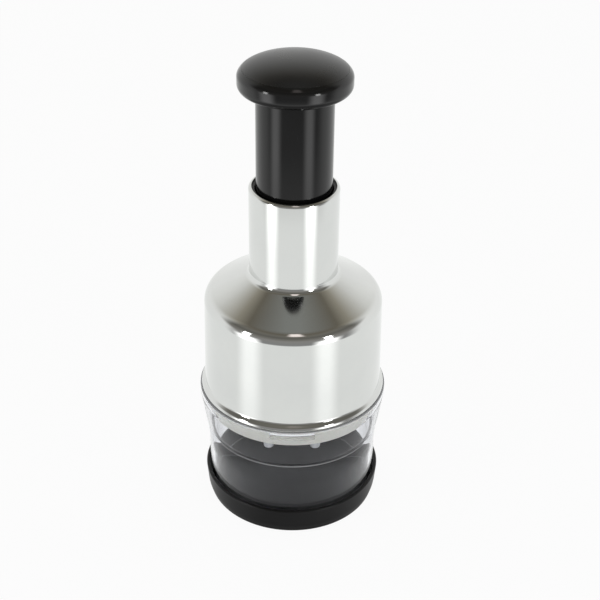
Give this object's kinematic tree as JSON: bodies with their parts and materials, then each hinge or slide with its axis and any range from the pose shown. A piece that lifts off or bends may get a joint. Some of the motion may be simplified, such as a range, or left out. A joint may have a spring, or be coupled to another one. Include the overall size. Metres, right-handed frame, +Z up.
{
  "type": "plunger food chopper",
  "caption": "Hand food chopper: a palm knob on a sprung plunger drives a zigzag blade down through a clear cup onto a shallow base, turning it a little with each press.",
  "frame": {"origin": "centre of the base's underside, on the surface the chopper stands on", "axes": "+Z up along the plunger's axis; the stroke, the blades' turn and the cups share it"},
  "size_m": [0.089, 0.089, 0.2257],
  "materials": {
    "black_base": "semi-gloss",
    "clear_plastic": "clear, polished",
    "cream_plastic": "satin",
    "polished_steel": "polished",
    "dark_plastic": "moulded",
    "black_ring": "satin",
    "slide_plastic": "smooth",
    "plate_steel": "brushed",
    "screw_steel": "turned",
    "spring_steel": "drawn wire",
    "white_plastic": "satin",
    "blade_steel": "ground",
    "rod_steel": "drawn",
    "black_shaft": "gloss",
    "bush_brass": "turned",
    "black_knob": "gloss",
    "satin_cap": "satin"
  },
  "bodies": {
    "housing": {"steel_shell": "polished_steel", "housing_core": "dark_plastic", "collar": "cream_plastic", "scraper_snap_ring": "spring_steel", "mouth_ring": "black_ring", "drive_nut": "slide_plastic", "pawl_ring": "slide_plastic", "nut_retainer": "plate_steel", "retainer_screws": "screw_steel", "lower_spring_seat": "slide_plastic", "return_spring": "spring_steel"},
    "plunger": {"plunger_shaft": "black_shaft", "rod_bush": "bush_brass", "upper_spring_seat": "slide_plastic", "knob": "black_knob", "knob_screws": "screw_steel", "palm_cap": "satin_cap"},
    "blade_unit": {"zigzag_blade": "blade_steel", "blade_pins": "screw_steel", "blade_carrier": "white_plastic", "carrier_cover": "white_plastic", "carrier_screws": "screw_steel", "spiral_rod": "rod_steel", "rod_washers": "screw_steel", "rod_circlip": "spring_steel"},
    "scraper_disc": {"scraper": "white_plastic"},
    "food_cup": {"clear_cup": "clear_plastic"},
    "base": {"base_cup": "black_base"}
  },
  "joints": [
    {"name": "plunger_slide", "type": "slide", "parent": "housing", "child": "plunger", "axis": [0, 0, -1], "range_m": [0, 0.042], "stiffness_N_per_m": 600, "springref_m": -0.015, "deforming": ["return_spring"]},
    {"name": "blade_turn", "type": "hinge", "parent": "plunger", "child": "blade_unit", "pos_m": [0, 0, 0], "axis": [0, 0, 1], "range_deg": [0, 30.5]},
    {"name": "scraper_turn", "type": "hinge", "parent": "housing", "child": "scraper_disc", "pos_m": [0, 0, 0], "axis": [0, 0, 1], "range_deg": [0, 30.5]},
    {"name": "cup_twist", "type": "hinge", "parent": "housing", "child": "food_cup", "pos_m": [0, 0, 0], "axis": [0, 0, 1], "range_deg": [0, 40]},
    {"name": "base_pull", "type": "slide", "parent": "food_cup", "child": "base", "axis": [0, 0, -1], "range_m": [0, 0.012]}
  ],
  "couplings": [
    {"joint": "blade_turn", "follows": "plunger_slide", "rad_per_m": 12.467},
    {"joint": "scraper_turn", "follows": "plunger_slide", "rad_per_m": 12.467}
  ]
}
